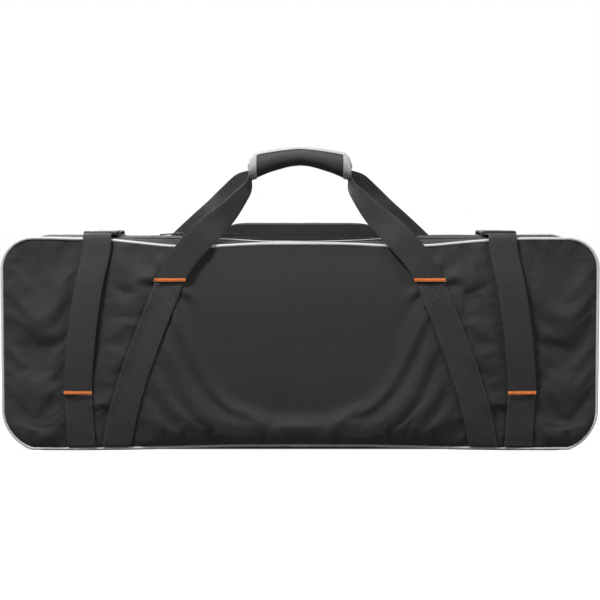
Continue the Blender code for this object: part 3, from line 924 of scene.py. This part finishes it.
def coil(name, run, pitch, y_start, y_end, body, node):
    """The turns of a zip's coil along one tape."""
    spots, left = [], pitch / 2
    middle, reach = (y_start + y_end) / 2, abs(y_end - y_start)
    for ((x0, z0), _), ((x1, z1), (out_x, out_z)) in zip(run, run[1:]):
        far = hypot(x1 - x0, z1 - z0)
        while left < far:
            share = left / far
            place = Vector((mix(x0, x1, share), middle, mix(z0, z1, share)))
            spots.append((place, Vector((0, reach, 0)), 0.00062, Vector((out_x, 0, out_z))))
            left += pitch
        left -= far
    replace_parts(seeds(name, spots, "zip_coil", body, "zip_coil"), node)


teeth_run = outline(0.0007, ZIP_END, 220)
low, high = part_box("lid_zip_teeth")
coil("lid_coil", teeth_run, 0.0020, low[1], high[1] + 0.0002, "lid", "lid_zip_teeth")
low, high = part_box("case_zip_teeth")
coil("case_coil", teeth_run, 0.0020, low[1] - 0.0002, high[1], "case", "case_zip_teeth")


# ---------------------------------------------------------------- webbing, straps and handles


class Laid(Band):
    """A webbing that lies on a padded panel, between a foot and a head given as (x, z) places."""

    def __init__(self, side, run, out, tree, bow=0.0):
        self.side, self.out, self.tree, self.bow = side, out, tree, bow
        foot, head = run
        self.foot, self.head = Vector((side * foot[0], 0, foot[1])), Vector((side * head[0], 0, head[1]))
        self.length = (self.head - self.foot).length
        slant = self.length / (self.head.z - self.foot.z)
        self.across = Vector((side * WEB_HALF * slant, 0, 0))

    def surface(self, x, z):
        """The panel's face at a place, smoothed over the width of a thumb."""
        found = []
        for step_x, step_z in ((0, 0), (0.006, 0), (-0.006, 0), (0, 0.006), (0, -0.006)):
            outside = Vector((x + step_x, self.out * 0.3, z + step_z))
            place = self.tree.ray_cast(outside, Vector((0, -self.out, 0)))[0]
            if place:
                found.append(self.out * place.y)
        return self.out * (mix(sum(found) / len(found), max(found), 0.5)) if found else self.out * 0.1

    def at(self, share, across, lift=0.0):
        place = self.foot.lerp(self.head, share) + self.across * across
        place.x += self.side * self.bow * sin(pi * min(1, max(0, share)) ** 0.75)
        y = self.surface(place.x, place.z) + self.out * (WEB / 2 + 0.0003 + lift)
        return Vector((place.x, y, place.z)), Vector((0, self.out, 0))

    def piece(self, name):
        foot = (PIPING_LOW + 0.0035 - self.foot.z) / (self.head.z - self.foot.z)
        turned = self.side * self.out

        def place(along, across):
            return self.at(mix(foot, 1, along), turned * (2 * across - 1))[0]

        return thicken(sheet_by(name, 34, 6, place), WEB, 0.0, 0.0004)


for side, hand in LEFT_RIGHT:
    sewn = Laid(side, FRONT_WEB, -1, front_tree, 0.0065)
    dress(sewn.piece(f"front_web_{hand}"), "webbing", "lid", f"front_webbing_{hand}")
    sew_edges(f"front_web_seams_{hand}", sewn, "lid", -0.04, 1.0)
    box_and_cross(f"front_web_cross_{hand}", sewn, "lid", 0.84, 0.985)
    bartack(f"handle_bar_{hand}", sewn, 1.01, "lid", f"handle_bartack_{hand}", reach=1.06, over=WEB + 0.0016)
    sewn = Laid(side, LASH_BASE, -1, front_tree)
    dress(sewn.piece(f"lash_root_{hand}"), "webbing", "lid", f"lash_base_{hand}")
    sew_edges(f"lash_root_seams_{hand}", sewn, "lid", -0.12, 0.97)
    bartack(f"lash_bar_{hand}", sewn, 1.0, "lid", f"lash_bartack_{hand}", reach=1.01, over=WEB + 0.0014)
    sewn = Laid(side, REAR_WEB, 1, rear_tree)
    dress(sewn.piece(f"rear_web_{hand}"), "webbing", "case", f"rear_webbing_{hand}")
    sew_edges(f"rear_web_seams_{hand}", sewn, "case", 0.0, 0.97)
    bartack(f"rear_handle_bar_{hand}", sewn, 1.0, "case", reach=1.02, over=WEB + 0.0016)

    # The free lash strap: up the front, over the piping and back to its buckle
    laid = Laid(side, LASH_BASE, -1, front_tree)
    stations = []
    for x, z, off in (
        (LASH_X, LASH_Z - 0.002, 0.0006), (LASH_X - 0.0005, LASH_Z + 0.018, 0.0026),
        (LASH_X - 0.004, 0.140, 0.0052), (LASH_X - 0.0100, 0.190, 0.0052),
        (LASH_X - 0.0175, 0.235, 0.0040), (LASH_X - 0.0245, 0.266, 0.0026),
    ):
        stations.append(((side * x, laid.surface(side * x, z) - WEB - off, z), (WEB_HALF, 0, 0)))
    top = side * (LASH_TOP_X - 0.0015)
    socket_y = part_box(f"buckle_socket_{hand}")[0][1]
    for y, rise in (
        (FRONT - 0.0062, -0.0045), (FRONT - 0.0036, 0.0026), (FRONT + 0.0030, 0.0056), (FRONT + 0.022, 0.0048),
        (socket_y - 0.004, 0.0040), (socket_y + 0.003, 0.0036),
    ):
        stations.append(((top, y, HEIGHT + rise), (WEB_HALF, 0, 0)))
    piece = dress(Band(stations).piece(f"lash_band_{hand}"), "webbing", None, f"lash_strap_{hand}")
    root = Vector((side * LASH_X, laid.surface(side * LASH_X, LASH_Z), LASH_Z))
    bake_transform(piece)

    # The rear strap: up the rear, over the piping and forward to the other half of the buckle
    laid = Laid(side, REAR_STRAP, 1, rear_tree)
    stations = []
    for step in range(10):
        stations.append((laid.at(0.95 * step / 9, 0, 0.0004)[0], (-WEB_HALF, 0, 0)))
    plug_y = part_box(f"buckle_plug_{hand}")[1][1]
    for y, rise in (
        (REAR + 0.0058, -0.0040), (REAR + 0.0036, 0.0026), (REAR - 0.0030, 0.0056), (REAR - 0.022, 0.0048),
        (REAR - 0.050, 0.0044), (plug_y + 0.012, 0.0042), (plug_y - 0.005, 0.0038),
    ):
        stations.append(((side * LASH_TOP_X, y, HEIGHT + rise), (-WEB_HALF, 0, 0)))
    piece = dress(Band(stations).piece(f"rear_band_{hand}"), "webbing", None, f"rear_strap_{hand}")
    start, end = ((side * LASH_TOP_X, y, HEIGHT) for y in (REAR - 0.035, plug_y + 0.004))
    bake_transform(piece)
    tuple(start)
    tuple(end)


def handle(face, out, laid_run, tree):
    """One carry handle: a loop of webbing with its half of the wrap grip."""
    grip_low, grip_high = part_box(f"{face}_grip_pad")
    length = grip_high[0] - grip_low[0]
    top_ends, top_middle = grip_high[2] - 0.0085, grip_high[2] + 0.0005
    foot_ends, foot_middle = grip_low[2] - 0.0018, grip_high[2] - 0.0248
    low_edge = grip_low[2] + 0.0145  # middle height of the grip's ends
    arch = grip_high[2] - 0.0145 - low_edge
    start_x = laid_run[1][0]
    root = out * Laid(1, laid_run, out, tree).at(1.0, 0, WEB + 0.0002)[0].y
    foot_z = laid_run[1][1]
    # Each station of the right leg: x, distance from the middle, z, then half of the width along x, out and z
    if out < 0:
        legs = [
            (start_x, root - 0.0002, foot_z - 0.001, 0.0195, 0.0, 0.0),
            (0.1675, root + 0.0004, 0.2480, 0.0188, 0.0, 0.0045),
            (0.1540, 0.1135, 0.2680, 0.0135, 0.001, 0.0125),
            (0.1285, 0.1060, 0.2966, 0.0128, 0.002, 0.0132),
            (0.1005, 0.0740, 0.3229, 0.0092, 0.008, 0.0118),
            (0.0808, 0.0400, 0.3480, 0.0078, 0.010, 0.0062),
            (0.0712, 0.0160, 0.3620, 0.0034, 0.006, 0.0058),
        ]
    else:
        legs = [
            (start_x, root - 0.0002, foot_z - 0.001, 0.0190, 0.0, 0.0),
            (0.2040, root + 0.0006, 0.2520, 0.0175, 0.0, 0.0060),
            (0.1780, 0.1100, 0.2800, 0.0105, 0.006, 0.0100),
            (0.1500, 0.0900, 0.3100, 0.0078, 0.011, 0.0078),
            (0.1266, 0.0600, 0.3333, 0.0060, 0.014, 0.0060),
            (0.1015, 0.0350, 0.3525, 0.0082, 0.011, 0.0082),
            (0.0830, 0.0170, 0.3690, 0.0068, 0.006, 0.0085),
        ]
    legs += [
        (0.0680, 0.0065, low_edge - 0.0050, 0.0010, 0.001, 0.0052),
        (0.0560, 0.0060, low_edge + 0.0030, 0.0, 0.0, 0.005),
        (0.0300, 0.0060, low_edge + arch - 0.0030, 0.0, 0.0, 0.005),
    ]
    stations = [((-x, out * y, z), (-wx, out * wy, wz)) for x, y, z, wx, wy, wz in legs]
    stations.append(((0, out * 0.0060, low_edge + arch), (0, 0, 0.005)))
    stations += [((x, out * y, z), (wx, out * wy, wz)) for x, y, z, wx, wy, wz in legs[::-1]]
    loop = Band(stations, 7)
    piece = dress(loop.piece(f"{face}_loop"), "webbing", None, f"{face}_handle_webbing")
    start, end = ((0, out * root, foot_z + rise) for rise in (-0.002, 0.026))
    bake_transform(piece)
    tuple(start)
    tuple(end)

    def grip_section(x):
        """Middle height and half height of the wrap at a place along it."""
        along = min(1, abs(2 * x / length))
        corner = max(0, (along - 0.80) / 0.20)
        top = mix(top_ends, top_middle, 1 - along**1.5) - 0.0140 * (1 - (1 - corner**2) ** 0.5)
        foot = mix(foot_ends, foot_middle, 1 - along**1.6) + 0.0040 * (1 - (1 - corner**2) ** 0.5)
        return (top + foot) / 2, (top - foot) / 2

    def half_wrap(name, first, last, grow, wall, finish, *nodes):
        """Half of the padded wrap round the grip, from one place along it to another."""

        def place(along, round_it):
            x = mix(first, last, along)
            middle, reach = grip_section(x)
            angle = radians(mix(-90, 90, round_it) * out)
            soft_fold = 0.0006 * noise.noise(Vector((x * 55, angle * 1.5, out * 4.0)))
            y = out * (0.0012 + (0.0200 + grow + soft_fold) * max(0, cos(angle)) ** 0.8)
            return x, y, middle + (reach + grow + soft_fold) * sin(angle)

        piece = sheet_by(name, 40 if last - first > 0.05 else 10, 16, place)
        thicken(piece, wall, 0.0, wall * 0.3)
        return dress(piece, finish, f"{face}_handle", *nodes)

    pad = half_wrap(f"{face}_wrap", -length / 2, length / 2, -0.0025, 0.0045, "grip_fabric", f"{face}_grip_pad")
    for side, hand in LEFT_RIGHT:
        first, last = sorted((side * (length / 2 - BINDING_WIDTH), side * (length / 2 + 0.0004)))
        node = f"{face}_grip_binding_{hand}"
        half_wrap(f"{face}_wrap_end_{hand}", first, last, 0.0006, 0.0014, "binding_tape", node)

    def top_edge(along, round_it):
        """The binding along the top edge, where the wrap closes."""
        x = mix(-length / 2, length / 2, along)
        middle, reach = grip_section(x)
        angle = radians(mix(52, 90, round_it) if out > 0 else mix(90, 52, round_it))
        return x, out * (0.0012 + 0.0206 * max(0, cos(angle)) ** 0.8), middle + (reach + 0.0006) * sin(angle)

    edge = thicken(sheet_by(f"{face}_wrap_top", 32, 6, top_edge), 0.0011, 0.0, 0.0003)
    dress(edge, "binding_tape", f"{face}_handle")


handle("front", -1, FRONT_WEB, front_tree)
handle("rear", 1, REAR_WEB, rear_tree)


# ---------------------------------------------------------------- the accessory pocket


def pocket_half(z, fuller):
    """Half of the pocket's width at a height, under its arched top. fuller squares its shoulders."""
    corner = mix(POCKET_RADIUS, 0.030, fuller)
    rise = max(0, z - (POCKET_HIGH - corner))
    reach = POCKET_HALF + 0.012 * fuller * smooth(0.10, 0.24, z)
    return reach - corner + max(0, corner**2 - rise**2) ** 0.5


def pocket_sheet(name, y_of, fuller=0):
    """An arched sheet of the pocket's size, with its lines closer together towards the arch."""

    def place(up, across):
        share = 1 - (1 - up) ** 1.6
        z = mix(POCKET_LOW, POCKET_HIGH - 0.0002, share)
        return -pocket_half(z, fuller) * (2 * across - 1), y_of(2 * across - 1, share), z

    return sheet_by(name, 44, 48, place)


def pocket_loop(grow, fuller=0.0):
    """The pocket's rim from its right foot over its arched top to its left foot. fuller squares its shoulders."""
    radius = mix(POCKET_RADIUS, 0.030, fuller) + grow
    reach, high = POCKET_HALF + grow + 0.012 * fuller, POCKET_HIGH + grow
    right = []
    for step in range(19):
        z = mix(POCKET_LOW + 0.004, high - radius, step / 18)
        right.append((reach - 0.012 * fuller * (1 - smooth(0.10, 0.24, z)), z))
    for turn in range(1, 16):
        angle = radians(6 * turn)
        down = radius * (1 - sin(angle)) + 0.002 * fuller * cos(angle)
        right.append((reach - radius * (1 - cos(angle)), high - down))
    flat = reach - radius
    middle = [(mix(flat, -flat, step / 12), high) for step in range(1, 12)]
    return right + middle + [(-x, z) for x, z in right[::-1]]


back = pocket_sheet("pocket_backing", lambda across, share: POCKET_FRONT + 0.0013, fuller=1)
declare_sheet(back)
thicken(back, 0.0012, 0.0)
dress(back, "shell_fabric", "case", "pocket_back")

gusset_low, gusset_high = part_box("pocket_gusset")
rows = []
for line in range(13):
    share = line / 12
    y = mix(gusset_high[1], gusset_low[1], share)
    rim = pocket_loop(0, smooth(0.1, 0.9, share))
    foot = [(rim[0][0] * step / 8, POCKET_LOW) for step in range(8)]
    row = []
    for x, z in foot + rim + [(-x, z) for x, z in foot[::-1]]:
        swell = (0.0022 + 0.0010 * noise.noise(Vector((x * 30, y * 30, z * 30)))) * sin(pi * share)
        row.append((x + swell * x / POCKET_HALF, y, z + swell * smooth(POCKET_HIGH - POCKET_RADIUS, POCKET_HIGH, z)))
    rows.append(row)
gusset = grid_sheet("pocket_side", rows)
declare_sheet(gusset)
thicken(gusset, 0.0012, 0.0)
dress(gusset, "shell_fabric", "case", "pocket_gusset")

COVER_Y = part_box("pocket_cover")[1][1]


def cover_face(across, share):
    """How the pocket's cover swells over its middle."""
    swell = 0.0040 * (1 - abs(across) ** 3) * (1 - abs(2 * share - 1) ** 4)
    return COVER_Y - 0.0016 + swell + 0.0007 * noise.noise(Vector((across * 5, share * 5, 2.0)))


cover = pocket_sheet("pocket_lid", cover_face)
thicken(cover, 0.0030, -1.0, 0.0008)
dress(cover, "shell_fabric", "pocket_cover", "pocket_cover")

zip_low, zip_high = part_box("pocket_zip")
zip_run = [((x, z), (x / POCKET_HALF, smooth(0.24, POCKET_HIGH, z))) for x, z in pocket_loop(0.0009)]
coil("pocket_coil", zip_run, 0.0020, zip_low[1] + 0.0012, zip_high[1] - 0.0006, "case", "pocket_zip")
seam = [(Vector((x, COVER_Y + 0.0002, z)), Vector((0, 1, 0))) for x, z in pocket_loop(-0.006)]
seeds("pocket_seam", stitch_spots(seam), "seam_thread", "pocket_cover", "shell_fabric")


# ---------------------------------------------------------------- hard pieces kept from the frame


def keep(finish, *nodes):
    """Gives kept CAD pieces their finish."""
    for node in nodes:
        piece = frame["nodes"][node]
        piece.data.materials.clear()
        piece.data.materials.append(FINISHES[finish])


ZIP_SETTLES = 0.0005
PULL_LEANS = 0.0020  # how much lower a pull's far end lies than its hinge


def lowered(node, finish, body, hinge=None):
    """A kept hard piece, set down to where the soft zip lies. A pull also leans down from its hinge."""
    piece = frame["nodes"][node].copy()
    piece.data = piece.data.copy()
    piece.name = f"{node}_set"
    piece.parent = None
    piece.matrix_world = Matrix.Identity(4)
    bpy.context.scene.collection.objects.link(piece)
    for vert in piece.data.vertices:
        along = abs(vert.co.x - hinge) / 0.032 if hinge else 0
        vert.co.z -= ZIP_SETTLES + PULL_LEANS * along
    dress(piece, finish, body, node)


for _, hand in LEFT_RIGHT:
    lowered(f"slider_{hand}", "zip_metal", f"slider_{hand}")
    lowered(f"pull_{hand}", "zip_metal", f"pull_{hand}", joint_place(f"pull_hinge_{hand}")[0])
keep("stiff_board", "base_board")
keep("buckle_plastic", *(f"buckle_{half}_{hand}" for half in ("socket", "plug") for _, hand in LEFT_RIGHT))
keep("zip_metal", "pocket_slider", "pocket_pull")


# ---------------------------------------------------------------- floor, light and camera


def area_light(name, place, size, energy, aim):
    light = bpy.data.lights.new(name, "AREA")
    light.shape = "RECTANGLE"
    light.size, light.size_y = size
    light.energy = energy
    lamp = bpy.data.objects.new(name, light)
    lamp.location = place
    lamp.rotation_euler = (Vector(aim) - Vector(place)).to_track_quat("-Z", "Y").to_euler()
    bpy.context.scene.collection.objects.link(lamp)


def seen_brightness(tree, seen, given):
    """A strength that is one thing to the camera and another to what it lights."""
    path = tree.nodes.new("ShaderNodeLightPath")
    return plus(tree, given, path.outputs["Is Camera Ray"], seen - given)


floor_material, tree, shader = shader_of("floor")
shader.inputs["Base Color"].default_value = (0.25, 0.25, 0.25, 1)
shader.inputs["Roughness"].default_value = 0.9
shader.inputs["Specular IOR Level"].default_value = 0.1
shader.inputs["Emission Color"].default_value = (1, 1, 1, 1)
tree.links.new(seen_brightness(tree, 0.92, 0.0), shader.inputs["Emission Strength"])
bpy.ops.mesh.primitive_plane_add(size=24)
floor = bpy.context.object
floor.name = "floor"
floor.data.materials.append(floor_material)

world = bpy.data.worlds.new("room")
world.use_nodes = True
backdrop = world.node_tree.nodes["Background"]
backdrop.inputs["Color"].default_value = (1, 1, 1, 1)
world.node_tree.links.new(seen_brightness(world.node_tree, 1.0, 0.24), backdrop.inputs["Strength"])
bpy.context.scene.world = world
area_light("key", (-1.0, -1.15, 2.3), (0.6, 0.6), 118, (0, 0, 0.15))
area_light("side", (1.9, -1.1, 1.9), (0.6, 0.6), 36, (0, 0, 0.15))
area_light("over", (0.2, 0.6, 2.4), (2.0, 1.0), 26, (0, 0, 0.2))
area_light("back", (-0.9, 2.1, 1.3), (0.8, 0.8), 42, (0, 0, 0.15))
bpy.context.scene.view_settings.view_transform = "Standard"

lens = bpy.data.cameras.new("view")
lens.lens = 110.6
lens.sensor_width = 36
camera = bpy.data.objects.new("view", lens)
camera.location = (0, -2.6, 0.355)
camera.rotation_euler = (Vector((0, -0.1, 0.206)) - camera.location).to_track_quat("-Z", "Y").to_euler()
bpy.context.scene.collection.objects.link(camera)
bpy.context.scene.camera = camera
